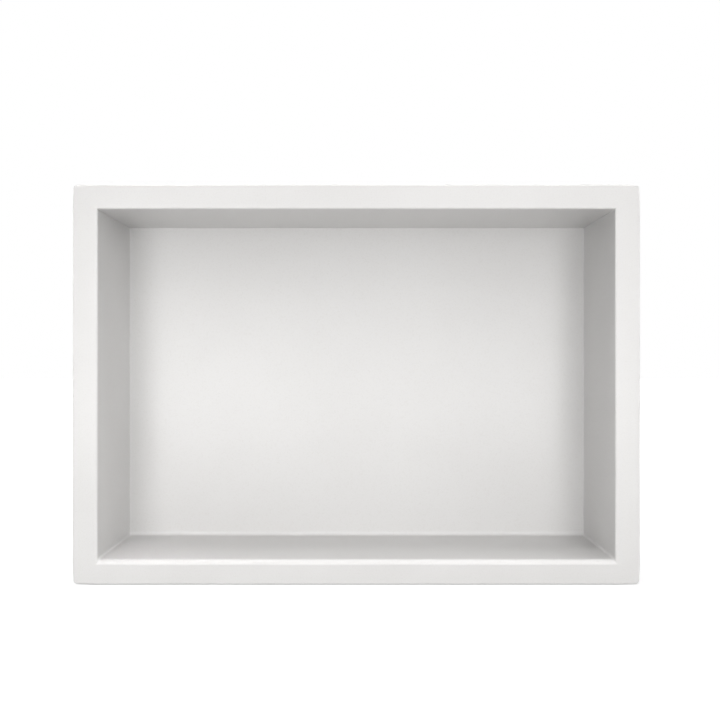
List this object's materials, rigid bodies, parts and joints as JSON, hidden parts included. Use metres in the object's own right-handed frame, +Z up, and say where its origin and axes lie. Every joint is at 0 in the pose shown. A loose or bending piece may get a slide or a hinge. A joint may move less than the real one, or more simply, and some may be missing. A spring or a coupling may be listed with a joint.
{
  "type": "shower niche insert",
  "caption": "Moulded recessed wall niche for a shower: a flat flange with eased corners frames an open, drafted rectangular recess with a draining bottom shelf.",
  "frame": {"origin": "centre of the flange's back face, on the surface of the finished wall", "axes": "seen from the room, +X is right and +Z is up; +Y points into the wall, so the recess opens towards -Y"},
  "size_m": [0.4318, 0.0822, 0.3048],
  "materials": {
    "solid_surface": "satin"
  },
  "bodies": {
    "root": {"niche_insert": "solid_surface"}
  },
  "joints": []
}
